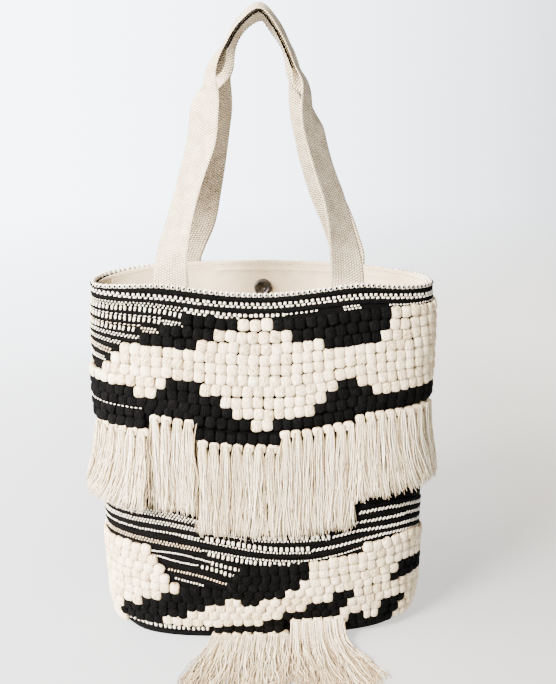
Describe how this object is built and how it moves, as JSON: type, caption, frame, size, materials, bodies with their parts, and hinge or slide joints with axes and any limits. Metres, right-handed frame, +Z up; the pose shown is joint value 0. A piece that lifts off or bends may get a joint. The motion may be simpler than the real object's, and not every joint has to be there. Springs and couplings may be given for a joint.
{
  "type": "woven tote bag",
  "caption": "Open-topped woven tote bag with black and cream loop pile, rows of fringe, a canvas lining, a magnetic snap and two webbing handles.",
  "frame": {"origin": "middle of the flat base, on the surface that the bag stands on", "axes": "+Z up, -Y towards the fringed front, +X to the right as the front is seen"},
  "size_m": [0.3469, 0.2306, 0.6029],
  "materials": {
    "woven_shell": "black thick weft with white stitches",
    "loop_pile": "cream and black cotton loops",
    "canvas_lining": "natural cotton canvas",
    "webbing": "natural cotton webbing",
    "fringe": "cream cotton strands",
    "snap": "gunmetal plate"
  },
  "bodies": {
    "root": {"front_panel": "woven_shell", "back_panel": "woven_shell", "upper_loops_front": "loop_pile", "upper_loops_back": "loop_pile", "lower_loops_front": "loop_pile", "lower_loops_back": "loop_pile", "lining": "canvas_lining", "handle_front": "webbing", "handle_back": "webbing", "snap_stud": "snap", "snap_socket": "snap", "fringe_upper_1": "fringe", "fringe_upper_2": "fringe", "fringe_upper_3": "fringe", "fringe_upper_4": "fringe", "fringe_upper_5": "fringe", "fringe_lower_1": "fringe", "fringe_lower_2": "fringe"}
  },
  "joints": []
}
